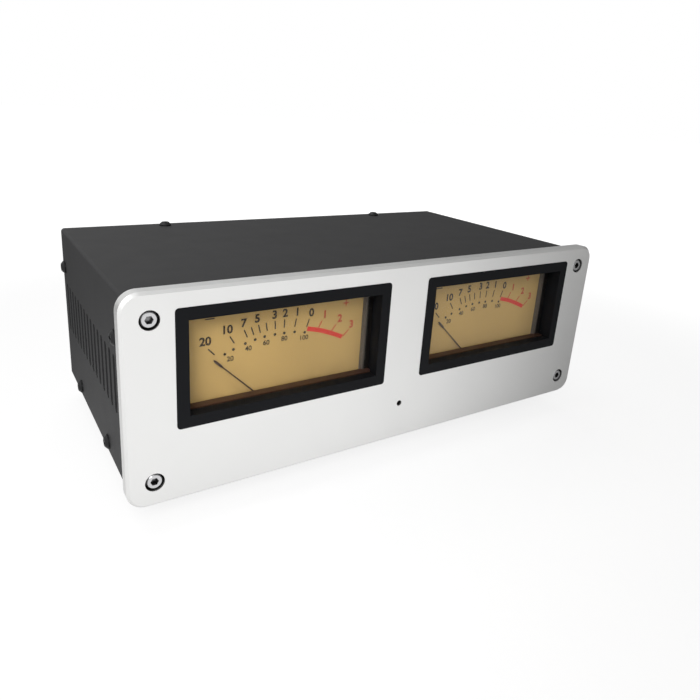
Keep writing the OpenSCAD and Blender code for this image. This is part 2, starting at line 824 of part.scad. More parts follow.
// Brass blocks above and below the core, which hold it in the middle of the pole ring
module core_spacers() {
    spacer_w = 3.6;
    color("goldenrod") for (side = [-1, 1]) at_meter(side) intersection() {
        difference() {
            rod(0, pivot_z, core_d + 1, core_back_d - 1, pole_in_r - thread_gap);
            rod(0, pivot_z, core_d, core_back_d, core_r);
        }
        mid_block(0, spacer_w, core_d, core_back_d, pivot_z - pole_r, pivot_z + pole_r);
    }
}

// Strap across the pole ring on two pillars
module bridge(strap_d, pillar_d0, pillar_d1) {
    for (x = [-1, 1]) {
        rod(x * pillar_x, pivot_z, pillar_d0, pillar_d1, pillar_r);
        rod(x * pillar_x, pivot_z, strap_d, strap_d + bridge_t, bridge_w / 2);
    }
    mid_block(0, 2 * pillar_x, strap_d, strap_d + bridge_t,
        pivot_z - bridge_w / 2, pivot_z + bridge_w / 2);
}

// Front straps, each with an arm that holds the front hairspring's outer end
module front_bridges() {
    anchor_x0 = spring_out_r + spring_strip / 2 + 0.02;
    color("darkkhaki") for (side = [-1, 1]) at_meter(side) difference() {
        union() {
            bridge(bridge_d, bridge_d + bridge_t, core_d);
            block(anchor_x0, pillar_x, spring_d, spring_d + spring_h, pivot_z - 0.5, pivot_z + 0.5);
        }
        rod(0, pivot_z, bridge_d - 1, bridge_d + bridge_t + 1, jewel_r + thread_gap);
    }
}

// Pins in the pole rings that stop the pointers at both ends of their swing
module stop_pins() {
    lean = asin((pointer_root / 2 + stop_r + stop_gap) / stop_radius);
    color("silver") for (side = [-1, 1], a = [-pointer_rest - lean, pointer_swing - pointer_rest + lean])
        at_meter(side)
            rod(stop_radius * sin(a), pivot_z + stop_radius * cos(a), pointer_d - 0.4, core_d, stop_r);
}

// Rear straps, which carry the zero adjusters
module rear_bridges() {
    color("darkkhaki") for (side = [-1, 1]) at_meter(side) difference() {
        bridge(rear_bridge_d, core_back_d, rear_bridge_d);
        rod(0, pivot_z, rear_bridge_d - 1, rear_bridge_d + bridge_t + 1, adjuster_r + running_gap);
    }
}

jewel_r = 1;
jewel_tip_d = pointer_d - 0.25;

// Slotted screws in the front bridges, each with a conical seat for the staff's point
module jewel_screws() {
    color("gold") for (side = [-1, 1]) at_meter(side) difference() {
        rod(0, pivot_z, bridge_d - 0.4, jewel_tip_d, jewel_r);
        rod(0, pivot_z, jewel_tip_d - 0.5, jewel_tip_d + 0.01, 0.1, 0.75);
        mid_block(0, 2 * jewel_r + 1, bridge_d - 1, bridge_d, pivot_z - 0.2, pivot_z + 0.2);
    }
}

// Rectangular frame seen from its side, drawn in x and depth, and extruded along the coil's width
module coil_frame(half_x, d0, d1, t, r, width) {
    translate([0, front_y + (d0 + d1) / 2, -width / 2]) linear_extrude(width) difference() {
        round_rect(2 * half_x, d1 - d0, r);
        square([2 * (half_x - t), d1 - d0 - 2 * t], center = true);
    }
}

module coil_winding(side) {
    color("peru") at_rest(side)
        coil_frame(coil_half, coil_front_d, coil_back_d, winding_t, winding_t * 0.9, coil_width - 0.6);
}

// Aluminium former inside the winding, with the hubs, collets and pivot staffs at its two ends
module coil_former(side) {
    color("lightgray") at_rest(side) {
        coil_frame(coil_half - winding_t, coil_front_d + winding_t, coil_back_d - winding_t,
            former_t, 0.2, coil_width);
        rod(0, 0, pointer_d - staff_tip, pointer_d, staff_tip_r, staff_r);
        rod(0, 0, pointer_d, spring_d - 0.1, staff_r);
        rod(0, 0, spring_d - 0.1, coil_front_d - hub_t, collet_r);
        rod(0, 0, coil_front_d - hub_t, coil_front_d, hub_r);
        rod(0, 0, coil_back_d, coil_back_d + hub_t, hub_r);
        rod(0, 0, coil_back_d + hub_t, rear_spring_d + spring_h + 0.1, collet_r);
        rod(0, 0, rear_spring_d + spring_h + 0.1, adjuster_d - 0.1, staff_r);
        rod(0, 0, adjuster_d - 0.1, adjuster_d - 0.1 + staff_tip, staff_r, staff_tip_r);
    }
}

pointer_root = 0.7;
pointer_neck = 0.35;
paddle_w = 0.9;
paddle_len = 3.8;
tail_len = 8;
tail_w = 0.8;
weight_r = 1.1;

// Pointer drawn upright: a tapered blade with a wider tip, and a balance cross behind the pivot
module pointer(side) {
    disc_r = 1.8;
    shoulder = paddle_w;
    tip = 0.2;
    arm_x = 5.2;
    arm_r = 0.7;
    color([0.25, 0.15, 0.08]) at_rest(side) difference() {
        union() {
            plate(pointer_d, pointer_d + pointer_t) {
                polygon([[-pointer_root / 2, 0], [pointer_root / 2, 0],
                    [pointer_neck / 2, pointer_len - paddle_len - shoulder],
                    [paddle_w / 2, pointer_len - paddle_len],
                    [paddle_w / 2, pointer_len - shoulder], [tip, pointer_len],
                    [-tip, pointer_len], [-paddle_w / 2, pointer_len - shoulder],
                    [-paddle_w / 2, pointer_len - paddle_len],
                    [-pointer_neck / 2, pointer_len - paddle_len - shoulder]]);
                circle(disc_r);
                translate([-tail_w / 2, -tail_len]) square([tail_w, tail_len]);
                translate([-arm_x, -tail_w / 2]) square([2 * arm_x, tail_w]);
            }
            rod(0, -tail_len, pointer_d, pointer_d + 3 * pointer_t, weight_r);
            for (x = [-1, 1]) rod(x * arm_x, 0, pointer_d, pointer_d + 2 * pointer_t, arm_r);
        }
        rod(0, 0, pointer_d - 1, pointer_d + pointer_t + 1, staff_r);
    }
}

// Flat spiral strip about the origin, drawn in x and y and ending on +x
module spiral(r_in, r_out, turns, strip) {
    steps = round(turns * 20);
    a0 = -360 * turns;
    function radius(i) = r_in + (r_out - r_in) * i / steps;
    function edge(i, offset) = (radius(i) + offset) * [cos(a0 + 360 * turns * i / steps),
        sin(a0 + 360 * turns * i / steps)];
    outer = [for (i = [0 : steps]) edge(i, strip / 2)];
    inner = [for (i = [steps : -1 : 0]) edge(i, -strip / 2)];
    polygon(concat(outer, inner));
}

module hairsprings() {
    color("silver") for (side = [-1, 1]) at_meter(side) {
        for (d = [spring_d, rear_spring_d])
            plate(d, d + spring_h) translate([0, pivot_z])
                spiral(spring_in_r, spring_out_r, spring_turns, spring_strip);
    }
}

// Slotted plug at the back of the case. Its arm holds the rear hairspring's outer end.
module zero_adjuster(side) {
    pin_r = 0.4;
    pin_x = spring_out_r + spring_strip / 2 + 0.3 + pin_r;
    head_d = cup_back_d + 0.3;
    head_t = 1.6;
    color("ivory") at_meter(side) difference() {
        union() {
            rod(0, pivot_z, adjuster_d, head_d, adjuster_r);
            rod(0, pivot_z, head_d, head_d + head_t, 3.4, 3);
            block(0, pin_x + 0.8, adjuster_d, adjuster_d + adjuster_arm_t, pivot_z - 0.8, pivot_z + 0.8);
            rod(pin_x, pivot_z, rear_spring_d, adjuster_d, pin_r);
        }
        rod(0, pivot_z, adjuster_d - 0.01, adjuster_d + 0.6, 0.9, 0.1);
        mid_block(0, 8, head_d + head_t - 0.9, head_d + head_t + 1, pivot_z - 0.45, pivot_z + 0.45);
    }
}

// ---- Microphone ----------------------------------------------------------

module microphone() {
    d0 = plate_back_d + boot_t;
    color("silver") {
        difference() {
            rod(0, panel_z + mic_z, d0, d0 + mic_len, mic_r);
            rod(0, panel_z + mic_z, 0, d0 + boot_t, mic_port_r);
        }
        for (x = [-1, 1])
            rod(x * mic_r / 2, panel_z + mic_z, d0 + mic_len, d0 + mic_len + mic_leg_len, 0.3);
    }
}

module mic_boot() {
    d0 = plate_back_d;
    color([0.1, 0.1, 0.1]) difference() {
        rod(0, panel_z + mic_z, d0, d0 + boot_t + mic_len, boot_r);
        rod(0, panel_z + mic_z, d0 + boot_t, far, mic_r + thread_gap);
        rod(0, panel_z + mic_z, 0, far, mic_port_r);
    }
}

// ---- Driver board --------------------------------------------------------

// The standoffs stand between the feet, clear of them
standoff_x = foot_x - 15;
standoff_front = 6;
standoff_rear = 14;

module at_standoffs() {
    for (x = [-1, 1], d = [board_front_d + standoff_front, board_back_d - standoff_rear])
        translate([x * standoff_x, d, 0]) children();
}

module driver_board() {
    color([0.1, 0.35, 0.2]) difference() {
        block(-board_x, board_x, board_front_d, board_back_d, board_z, board_top);
        at_standoffs() post(0, 0, 0, far, m3_clear_r);
    }
}

// Sockets that the leads plug into
module board_headers() {
    color("ivory") for (x = concat([0], lead_xs, -lead_xs))
        mid_block(x, header_w, header_d - header_depth / 2, header_d + header_depth / 2,
            board_top, board_top + header_h);
}

// Brass hexagon pillars with a screw from below and one from above
module board_standoffs() {
    color("goldenrod") at_standoffs() {
        translate([0, front_y, floor_z]) cylinder(h = standoff_h, r = m3_nut_af / sqrt(3), $fn = 6);
        post(0, 0, board_z, board_top, m3_r);
        post(0, 0, board_top, board_top + pan_head_h, cap_head_r, cap_head_r - pan_chamfer);
        post(0, 0, box_z, floor_z, m3_r);
        post(0, 0, box_z - pan_head_h, box_z, cap_head_r - pan_chamfer, cap_head_r);
    }
}

// Each capacitor is [x, depth behind the board's front edge, radius, height]
capacitor_spots = [[-72, 16, 5, 16], [-58, 16, 5, 16], [-40, 28, 3.15, 11], [-30, 18, 3.15, 11],
    [30, 18, 3.15, 11], [38, 28, 3.15, 11], [52, 20, 4, 12]];

module capacitor(r, h) {
    crimp = r / 8;
    rotate_extrude() polygon([[0, 0], [r - crimp, 0], [r, crimp], [r, 2 * crimp],
        [r - crimp, 3 * crimp], [r, 4 * crimp], [r, h - crimp], [r - crimp, h], [0, h]]);
}

module board_capacitors() {
    color([0.15, 0.2, 0.35]) for (c = capacitor_spots)
        translate([c[0], front_y + board_front_d + c[1], board_top]) capacitor(c[2], c[3]);
}

chip_x = 13;
chip_d = board_front_d + 15;
chip_len = 9.8;
chip_w = 6.4;
chip_h = 3.8;
leg_pitch = 2.54;
leg_w = 0.6;
leg_t = 0.9;
leg_h = 2.2;
trimmer_x = 26;
trimmer_d = board_front_d + 25;
trimmer_w = 6.6;
trimmer_h = 5;
trimmer_dial_r = 2;

// Amplifier chips with their rows of legs, and the trimmers that set each meter's gain
module board_chips() {
    color([0.12, 0.12, 0.13]) for (x = [-1, 1] * chip_x) {
        mid_block(x, chip_len, chip_d, chip_d + chip_w, board_top + leg_w, board_top + chip_h);
        for (i = [-1.5 : 1.5], d = [chip_d - leg_t, chip_d + chip_w])
            mid_block(x + i * leg_pitch, leg_w, d, d + leg_t, board_top, board_top + leg_h);
    }
    color("royalblue") for (x = [-1, 1] * trimmer_x) difference() {
        mid_block(x, trimmer_w, trimmer_d, trimmer_d + trimmer_w, board_top, board_top + trimmer_h);
        post(x, trimmer_d + trimmer_w / 2, board_top + trimmer_h - leg_w, far, trimmer_dial_r);
    }
}

// Point on a smooth curve with four control points
function bezier(p, t) = pow(1 - t, 3) * p[0] + 3 * t * pow(1 - t, 2) * p[1]
    + 3 * pow(t, 2) * (1 - t) * p[2] + pow(t, 3) * p[3];
function unit(v) = v / norm(v);

// Round insulated wire along a curve. The ring of points turns about an axis that is never along it.
module wire(p, r) {
    rings = 18;
    sides = 8;
    function along(i) = bezier(p, max(0, min(1, i / rings)));
    function heading(i) = unit(along(i + 0.5) - along(i - 0.5));
    points = [for (i = [0 : rings])
        let (h = i == 0 ? unit(p[1] - p[0]) : i == rings ? unit(p[3] - p[2]) : heading(i),
            u = unit(cross(h, [1, 0.05, 0])), v = cross(h, u))
        for (k = [0 : sides - 1])
            along(i) + r * (cos(360 * k / sides) * u + sin(360 * k / sides) * v)];
    walls = [for (i = [0 : rings - 1], k = [0 : sides - 1])
        let (a = i * sides + k, b = i * sides + (k + 1) % sides)
        each [[a, b, b + sides], [a, b + sides, a + sides]]];
    caps = [for (k = [1 : sides - 2]) each [[0, k + 1, k],
        [rings * sides, rings * sides + k, rings * sides + k + 1]]];
    polyhedron(points = points, faces = concat(walls, caps), convexity = 4);
}

// A lead that leaves a point rearwards, arches and comes down into a header on the board
module lead(x, d, z, header_x) {
    start = [x, front_y + d, z];
    end = [header_x, front_y + header_d, board_top + header_h];
    wire([start, start + [0, lead_run, 0], end + [0, 0, lead_arch], end], lead_r);
}

module leads() {
    stud_end = case_back_d + terminal_len;
    color("firebrick") for (side = [-1, 1]) {
        lead(side * (meter_pitch / 2 - lamp_exit_x), case_back_d, lamp_exit_z, side * lead_xs[0]);
        lead(side * (meter_pitch / 2 - terminal_x), stud_end, terminal_z, side * lead_xs[1]);
        lead(side * (meter_pitch / 2 + terminal_x), stud_end, terminal_z, side * lead_xs[2]);
    }
    color("gray") lead(0, plate_back_d + boot_t + mic_len + mic_leg_len, panel_z + mic_z, 0);
}

// ---- Rear fittings -------------------------------------------------------

// Places children at the two line sockets
module at_sockets() {
    for (x = [-1, 1]) translate([socket_x + x * socket_pitch / 2, 0, socket_axis_z]) children();
}

// Moulded block of the line sockets, with collars that fill the rear plate's holes
module line_socket_block() {
    color([0.1, 0.1, 0.1]) difference() {
        union() {
            mid_block(socket_x, socket_pitch + 2 * socket_body, rear_in_d - body_depth, rear_in_d,
                board_top, socket_axis_z + socket_body);
            at_sockets() rod(0, 0, rear_in_d, rear_d + collar_proud, collar_r);
        }
        at_sockets() rod(0, 0, rear_d - socket_root, far, shoulder_r);
    }
}

// Plated sleeves with a shoulder in the block. The plugs slide over them.
module socket_sleeves() {
    color("silver") at_sockets() difference() {
        union() {
            rod(0, 0, rear_d - socket_root, rear_d + collar_proud, shoulder_r);
            rod(0, 0, rear_d + collar_proud, rear_d + collar_proud + socket_len, socket_r);
        }
        rod(0, 0, 0, far, insert_r);
    }
}

// Coloured rings inside the sleeves, bored for the plug's pin
module socket_inserts() {
    color("firebrick") at_sockets() difference() {
        rod(0, 0, rear_d - socket_root, rear_d + socket_len, insert_r);
        rod(0, 0, rear_d + collar_proud, far, contact_r);
    }
}

supply_half = 4.7;
supply_nose_r = 4;
supply_nose = 1.4;
supply_bore_r = 2.95;
supply_bore_len = 10;
supply_pin_r = 1.05;

module supply_socket() {
    nose_d = rear_d + supply_nose;
    color([0.1, 0.1, 0.1]) difference() {
        union() {
            mid_block(supply_x, 2 * supply_half, rear_in_d - body_depth, rear_in_d,
                board_top, supply_axis_z + supply_half);
            rod(supply_x, supply_axis_z, rear_in_d, nose_d, supply_nose_r);
        }
        rod(supply_x, supply_axis_z, nose_d - supply_bore_len, far, supply_bore_r);
    }
    color("silver") rod(supply_x, supply_axis_z, nose_d - supply_bore_len - 1, nose_d - plate_gap,
        supply_pin_r);
}

// Hexagon nut and washer on a threaded bush behind the box
module bush_nut(x, z, r, flats) {
    difference() {
        union() {
            rod(x, z, rear_d, rear_d + washer_t, flats / 2 + 2 * washer_t);
            hex_rod(x, z, rear_d + washer_t, rear_d + washer_t + nut_t, flats);
        }
        rod(x, z, 0, far, r + thread_gap);
    }
}

module rear_nuts() {
    color("silver") {
        bush_nut(knob_x, pot_axis_z, pot_bush_r, pot_nut_af);
        for (x = [power_x, source_x]) bush_nut(x, switch_axis_z, switch_bush_r, switch_nut_af);
    }
}

module sensitivity_pot() {
    body_d = rear_in_d - plate_gap;
    color("silver") {
        difference() {
            union() {
                rod(knob_x, pot_axis_z, body_d - pot_depth, body_d, pot_half);
                mid_block(knob_x, 2 * pot_half, body_d - pot_depth, body_d, board_top, pot_axis_z);
                rod(knob_x, pot_axis_z, body_d, rear_d + pot_bush_len, pot_bush_r);
            }
            rod(knob_x, pot_axis_z, body_d - shaft_root - plate_gap, far, shaft_r + running_gap);
        }
    }
}

flutes = 20;
flute_r = 0.7;
knob_skirt = 3;
knob_step = 0.5;
knob_taper = 0.6;
knob_bevel = 0.8;
knob_cap = 2;
index_w = 0.8;

// Fluted knob with an index groove, on the potentiometer's shaft
module sensitivity_knob() {
    d0 = rear_d + washer_t + nut_t + knob_gap;
    grip_r = knob_r - knob_step;
    end_r = grip_r - knob_taper;
    color([0.1, 0.1, 0.11]) translate([knob_x, 0, pot_axis_z]) difference() {
        union() {
            rod(0, 0, d0, d0 + knob_skirt, knob_r);
            rod(0, 0, d0 + knob_skirt, end_d - knob_bevel, grip_r, end_r);
            rod(0, 0, end_d - knob_bevel, end_d, end_r, end_r - knob_bevel);
        }
        rod(0, 0, 0, rear_d + pot_bush_len + knob_gap, pot_bush_r + knob_gap);
        for (i = [0 : flutes - 1])
            rod(grip_r * sin(i * 360 / flutes), grip_r * cos(i * 360 / flutes),
                d0 + knob_skirt, end_d + 1, flute_r);
        mid_block(0, index_w, end_d - 0.5, end_d + 1, shaft_r / 2, knob_r);
        rod(0, 0, 0, end_d - knob_cap, shaft_r);
    }
}

// The potentiometer's shaft, on which the knob is pressed
module pot_shaft() {
    color("silver") rod(knob_x, pot_axis_z, rear_in_d - shaft_root, end_d - knob_cap, shaft_r);
}

// Threaded bush and body of both switches. The bush has a conical mouth for the lever.
module toggle_switches() {
    mouth_d = rear_d + switch_bush_len;
    cup_in_r = ball_r + 0.3;
    cup_depth = 2.6;
    color("silver") for (x = [power_x, source_x]) {
        difference() {
            union() {
                mid_block(x, 2 * switch_half, rear_in_d - plate_gap - pot_depth, rear_in_d - plate_gap,
                    board_top, switch_axis_z + switch_top);
                rod(x, switch_axis_z, rear_in_d - plate_gap, mouth_d, switch_bush_r);
            }
            rod(x, switch_axis_z, lever_pivot_d - cup_depth, lever_pivot_d, cup_in_r);
            rod(x, switch_axis_z, lever_pivot_d, mouth_d + 0.01, cup_in_r, switch_mouth_r);
        }
    }
}

// Lever at its off position, tilted down about the cross pin through its ball
module lever(x) {
    color("silver") translate([x, front_y + lever_pivot_d, switch_axis_z]) rotate([-lever_tilt, 0, 0]) {
        sphere(ball_r);
        rotate([0, 90, 0]) cylinder(h = 2 * ball_r + 0.4, r = lever_pin_r, center = true);
        rotate([-90, 0, 0]) cylinder(h = lever_len, r1 = lever_root_r, r2 = ball_r);
        translate([0, lever_len, 0]) sphere(ball_r);
    }
}

// ---- Everything ----------------------------------------------------------

front_panel();
panel_screws();
panel_nuts();
front_plate();
bottom_tray();
rear_plate();
tray_rivets();
top_cover();
cover_screws();
feet();
foot_screws();
bezel(-1);  // bezel_l
bezel(1);  // bezel_r
window_shelf(-1);  // window_shelf_l
window_shelf(1);  // window_shelf_r
dial(-1);  // dial_l
dial(1);  // dial_r
light_guides();
lamp_boards();
meter_case(-1);  // meter_case_l
meter_case(1);  // meter_case_r
meter_screws();
meter_terminals();
pole_rings();
core_magnets();
core_spacers();
front_bridges();
rear_bridges();
jewel_screws();
stop_pins();
coil_former(-1);  // coil_former_l
coil_former(1);  // coil_former_r
coil_winding(-1);  // coil_winding_l
coil_winding(1);  // coil_winding_r
pointer(-1);  // pointer_l
pointer(1);  // pointer_r
hairsprings();
zero_adjuster(-1);  // zero_adjuster_l
zero_adjuster(1);  // zero_adjuster_r
driver_board();
board_headers();
board_standoffs();
board_capacitors();
board_chips();
leads();
microphone();
mic_boot();
line_socket_block();
socket_sleeves();
socket_inserts();
supply_socket();
sensitivity_pot();
pot_shaft();
sensitivity_knob();
toggle_switches();
rear_nuts();
lever(power_x);  // power_lever
lever(source_x);  // source_lever
window_pane(-1);  // window_pane_l
window_pane(1);  // window_pane_r
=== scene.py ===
"""Looks of the two-channel level meter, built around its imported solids.

Metres, +Z up, and the front faces -Y. What is printed on the dials is placed from the pivots.
"""
import json
import math

import bmesh
import bpy
from mathutils import Matrix, Vector


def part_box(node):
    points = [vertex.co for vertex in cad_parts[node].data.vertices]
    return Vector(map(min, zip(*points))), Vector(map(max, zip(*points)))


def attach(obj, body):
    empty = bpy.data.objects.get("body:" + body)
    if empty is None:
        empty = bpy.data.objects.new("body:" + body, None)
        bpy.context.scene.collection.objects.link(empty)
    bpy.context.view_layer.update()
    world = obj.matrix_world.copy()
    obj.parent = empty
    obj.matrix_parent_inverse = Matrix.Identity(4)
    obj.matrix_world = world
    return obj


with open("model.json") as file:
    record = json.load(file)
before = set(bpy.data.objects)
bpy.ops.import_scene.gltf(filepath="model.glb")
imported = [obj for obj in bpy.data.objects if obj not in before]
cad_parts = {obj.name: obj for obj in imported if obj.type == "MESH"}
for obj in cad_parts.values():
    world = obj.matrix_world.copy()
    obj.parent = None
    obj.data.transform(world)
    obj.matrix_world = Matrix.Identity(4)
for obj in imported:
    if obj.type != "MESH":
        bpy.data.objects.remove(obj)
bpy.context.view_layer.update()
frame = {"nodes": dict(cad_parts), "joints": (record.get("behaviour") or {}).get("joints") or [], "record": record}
nodes = frame["nodes"]
joints = {joint["name"]: joint for joint in frame["joints"]}

MM = 0.001
SIDES = ("l", "r")
Y_AXIS, Z_AXIS = 1, 2


# ---- Camera ---------------------------------------------------------------

CAMERA_PLACE = Vector((-147.5, -242.3, 140.4)) * MM
CAMERA_AZIMUTH = math.radians(-32.67)
CAMERA_ELEVATION = math.radians(17.29)
CAMERA_ROLL = math.radians(3.43)
CAMERA_SENSOR = 36
CAMERA_LENS = 31.24
CAMERA_SHIFT = (0.0237, -0.0747)
CAMERA_NEAREST = 0.01


def add_camera():
    """Looks at the object from its front left, a little above it."""
    back = Vector((
        math.sin(CAMERA_AZIMUTH) * math.cos(CAMERA_ELEVATION),
        -math.cos(CAMERA_AZIMUTH) * math.cos(CAMERA_ELEVATION),
        math.sin(CAMERA_ELEVATION),
    ))
    level_right = Vector((0, 0, 1)).cross(back).normalized()
    level_up = back.cross(level_right)
    right = math.cos(CAMERA_ROLL) * level_right + math.sin(CAMERA_ROLL) * level_up
    up = -math.sin(CAMERA_ROLL) * level_right + math.cos(CAMERA_ROLL) * level_up
    data = bpy.data.cameras.new("camera")
    data.sensor_width = CAMERA_SENSOR
    data.lens = CAMERA_LENS
    data.shift_x, data.shift_y = CAMERA_SHIFT
    data.clip_start = CAMERA_NEAREST
    camera = bpy.data.objects.new("camera", data)
    bpy.context.scene.collection.objects.link(camera)
    camera.matrix_world = Matrix((
        (right.x, up.x, back.x, CAMERA_PLACE.x),
        (right.y, up.y, back.y, CAMERA_PLACE.y),
        (right.z, up.z, back.z, CAMERA_PLACE.z),
        (0, 0, 0, 1),
    ))
    bpy.context.scene.camera = camera


# ---- Material helpers -----------------------------------------------------

# A noise's values lie mostly between these two
NOISE_LOW, NOISE_HIGH = 0.3, 0.7
NOISE_ROUGHNESS = 0.55
# Painted shade in recesses: how open a place is where the painted shade is darkest and where it has its full
# colour, and how dark it gets
RECESS_CLOSED, RECESS_OPEN = 0.2, 0.8
RECESS_SHADE = 0.05
# Size of the patches of even gloss, as a share of the patches of even colour
GLOSS_PATCH_SHARE = 0.4
# Brushed lines: their width, their length in widths, and how much their gloss varies
BRUSH_WIDTH = 0.00018
BRUSH_LENGTH = 60
BRUSH_ROUGH_SPREAD = 0.05


class Shader:
    """A material under construction: one Principled shader and the nodes that feed it."""

    def __init__(self, name, **uniform):
        self.material = bpy.data.materials.new(name)
        self.material.use_nodes = True
        self.tree = self.material.node_tree
        self.bsdf = next(n for n in self.tree.nodes if n.type == "BSDF_PRINCIPLED")
        for socket, value in uniform.items():
            self.bsdf.inputs[socket.replace("_", " ")].default_value = value
        coordinates = self.tree.nodes.new("ShaderNodeTexCoord")
        self.place = coordinates.outputs["Object"]
        self.facing = coordinates.outputs["Normal"]

    def node(self, kind, **values):
        """Adds a node. Names in values are sockets' names, with underscores for blanks."""
        made = self.tree.nodes.new(kind)
        for socket, value in values.items():
            made.inputs[socket.replace("_", " ")].default_value = value
        return made

    def link(self, source, target):
        self.tree.links.new(source, target)

    def work_out(self, operation, value, other=None):
        """A sum on a value, with a fixed number where the operation takes two."""
        made = self.tree.nodes.new("ShaderNodeMath")
        made.operation = operation
        self.link(value, made.inputs[0])
        if other is not None:
            made.inputs[1].default_value = other
        return made.outputs["Value"]

    def noise(self, size, detail=2.0, stretch=(1, 1, 1)):
        """Noise whose features are about size metres across, stretched along the axes."""
        mapping = self.node("ShaderNodeMapping")
        mapping.inputs["Scale"].default_value = [1 / (size * factor) for factor in stretch]
        self.link(self.place, mapping.inputs["Vector"])
        noise = self.node("ShaderNodeTexNoise", Scale=1.0, Detail=detail, Roughness=NOISE_ROUGHNESS)
        self.link(mapping.outputs["Vector"], noise.inputs["Vector"])
        return noise.outputs["Fac"]

    def spread(self, value, low, high):
        """Maps the middle of a noise's range to low..high."""
        stretch = self.node("ShaderNodeMapRange", From_Min=NOISE_LOW, From_Max=NOISE_HIGH,
                            To_Min=low, To_Max=high)
        self.link(value, stretch.inputs["Value"])
        return stretch.outputs["Result"]

    def mix(self, factor, first, last):
        """A colour between two, by a factor that runs over the middle of a noise's range."""
        ramp = self.tree.nodes.new("ShaderNodeValToRGB")
        ramp.color_ramp.elements[0].position = NOISE_LOW
        ramp.color_ramp.elements[1].position = NOISE_HIGH
        ramp.color_ramp.elements[0].color = (*first, 1)
        ramp.color_ramp.elements[1].color = (*last, 1)
        self.link(factor, ramp.inputs["Fac"])
        return ramp.outputs["Color"]

    def grime(self, colour, reach):
        """The colour with painted shade, darker in gaps and recesses that are narrow for the reach."""
        recess = self.node("ShaderNodeAmbientOcclusion", Distance=reach)
        depth = self.node("ShaderNodeMapRange", From_Min=RECESS_CLOSED, From_Max=RECESS_OPEN,
                          To_Min=RECESS_SHADE, To_Max=1.0)
        self.link(recess.outputs["AO"], depth.inputs["Value"])
        dim = self.tree.nodes.new("ShaderNodeVectorMath")
        dim.operation = "SCALE"
        self.link(colour, dim.inputs[0])
        self.link(depth.outputs["Result"], dim.inputs["Scale"])
        return dim.outputs["Vector"]

    def bump(self, height, distance):
        bump = self.node("ShaderNodeBump", Strength=1.0, Distance=distance)
        self.link(height, bump.inputs["Height"])
        self.link(bump.outputs["Normal"], self.bsdf.inputs["Normal"])

    def show(self, shader):
        """Makes a shader the surface's own, in place of the Principled one."""
        output = next(n for n in self.tree.nodes if n.type == "OUTPUT_MATERIAL")
        self.link(shader, output.inputs["Surface"])


def shade(colour, factor):
    """The same colour, darker or lighter."""
    return tuple(min(1.0, channel * factor) for channel in colour)


def grained(name, colour, roughness, grain, depth, variation=0.06, rough_spread=0.05, patch=0.03,
            recess=None, **uniform):
    """A surface with fine grain, patchy colour and uneven gloss. A recess reach paints shade into gaps."""
    shader = Shader(name, **uniform)
    patches = shader.noise(patch, detail=3)
    tint = shader.mix(patches, shade(colour, 1 - variation), shade(colour, 1 + variation))
    # painted shade: the colour is darkened where gaps and recesses are narrow
    if recess:
        tint = shader.grime(tint, recess)
    shader.link(tint, shader.bsdf.inputs["Base Color"])
    gloss = shader.spread(shader.noise(patch * GLOSS_PATCH_SHARE, detail=4),
                          roughness - rough_spread, roughness + rough_spread)
    shader.link(gloss, shader.bsdf.inputs["Roughness"])
    shader.bump(shader.noise(grain, detail=2), depth)
    return shader.material


def brushed(name, colour, roughness, axis, depth=0.000004, variation=0.05, recess=0.004):
    """Bright metal with fine lines along one axis, with painted shade in its recesses."""
    shader = Shader(name, Metallic=1.0)
    stretch = [BRUSH_LENGTH if each == axis else 1 for each in range(3)]
    lines = shader.noise(BRUSH_WIDTH, detail=3, stretch=stretch)
    tint = shader.mix(lines, shade(colour, 1 - variation), shade(colour, 1 + variation))
    # painted shade: the base colour is darkened in recesses
    shader.link(shader.grime(tint, recess), shader.bsdf.inputs["Base Color"])
    gloss = shader.spread(lines, roughness - BRUSH_ROUGH_SPREAD, roughness + BRUSH_ROUGH_SPREAD)
    shader.link(gloss, shader.bsdf.inputs["Roughness"])
    shader.bump(lines, depth)
    return shader.material


def edge_lit(name, colour, dim, reach, grain, depth, **uniform):
    """Plastic round the dials with painted light: bright next to the card and dim a little way out."""
    shader = Shader(name, **uniform)
    place = shader.tree.nodes.new("ShaderNodeSeparateXYZ")
    shader.link(shader.place, place.inputs["Vector"])
    distance = place.outputs["X"]
    # folds left onto right, and then one side of the right dial onto the other
    for centre in (0, joints["pointer_swing_r"]["pos_m"][0]):
        distance = shader.work_out("ABSOLUTE", shader.work_out("SUBTRACT", distance, centre))
    low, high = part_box("dial_r")
    card_half = (high.x - low.x) / 2
    # painted light: full colour at the card's edge, fading to the dim colour over the reach
    light = shader.node("ShaderNodeMapRange", From_Min=card_half, From_Max=card_half + reach,
                        To_Min=1.0, To_Max=0.0)
    shader.link(distance, light.inputs["Value"])
    shader.link(shader.mix(light.outputs["Result"], shade(colour, dim), colour),
                shader.bsdf.inputs["Base Color"])
    shader.bump(shader.noise(grain), depth)
    return shader.material


def felted(name, metal, felt, metal_roughness, felt_roughness, squareness, grain, depth):
    """A bright can with felt over the faces that look to the front squarely enough."""
    shader = Shader(name)
    front = shader.tree.nodes.new("ShaderNodeVectorMath")
    front.operation = "DOT_PRODUCT"
    front.inputs[1].default_value = (0, -1, 0)
    shader.link(shader.facing, front.inputs[0])
    starts, full = squareness
    cover = shader.node("ShaderNodeMapRange", From_Min=starts, From_Max=full)
    shader.link(front.outputs["Value"], cover.inputs["Value"])
    covered = cover.outputs["Result"]
    shader.link(shader.mix(covered, metal, felt), shader.bsdf.inputs["Base Color"])
    bare = shader.node("ShaderNodeMapRange", To_Min=1.0, To_Max=0.0)
    shader.link(covered, bare.inputs["Value"])
    shader.link(bare.outputs["Result"], shader.bsdf.inputs["Metallic"])
    shader.link(shader.spread(covered, metal_roughness, felt_roughness), shader.bsdf.inputs["Roughness"])
    shader.bump(shader.noise(grain), depth)
    return shader.material


